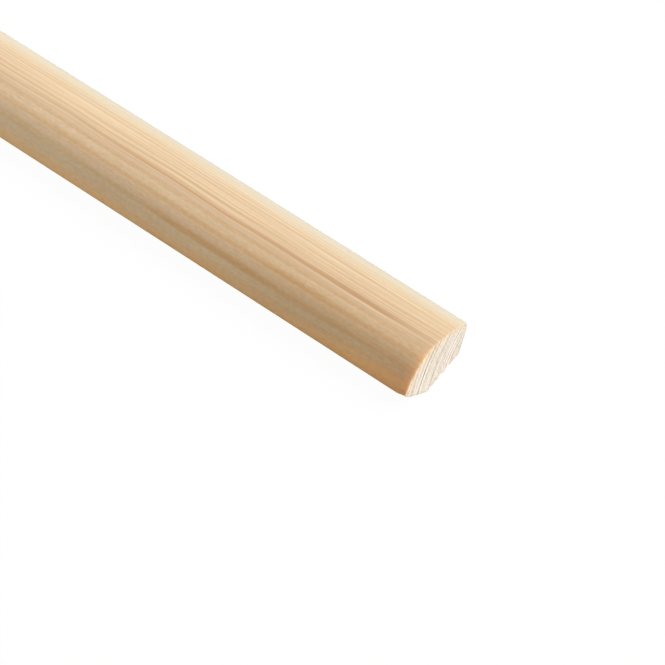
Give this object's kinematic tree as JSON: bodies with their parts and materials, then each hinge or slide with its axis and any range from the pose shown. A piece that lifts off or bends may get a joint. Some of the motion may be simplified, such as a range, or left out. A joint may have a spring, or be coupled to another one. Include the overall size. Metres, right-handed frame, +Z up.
{
  "type": "quadrant moulding",
  "caption": "Straight length of planed pine trim with a convex quarter-round face, flat faces at right angles and a bevelled back corner, for covering the joint between floor and skirting.",
  "frame": {"origin": "under the middle of the length, on the back relief that the loose length lies on", "axes": "+X along the length, +Z up out of the round face, +Y across it towards the wall face"},
  "size_m": [2.4, 0.025, 0.0116],
  "materials": {
    "pine": "matte"
  },
  "bodies": {
    "root": {"moulding": "pine"}
  },
  "joints": []
}
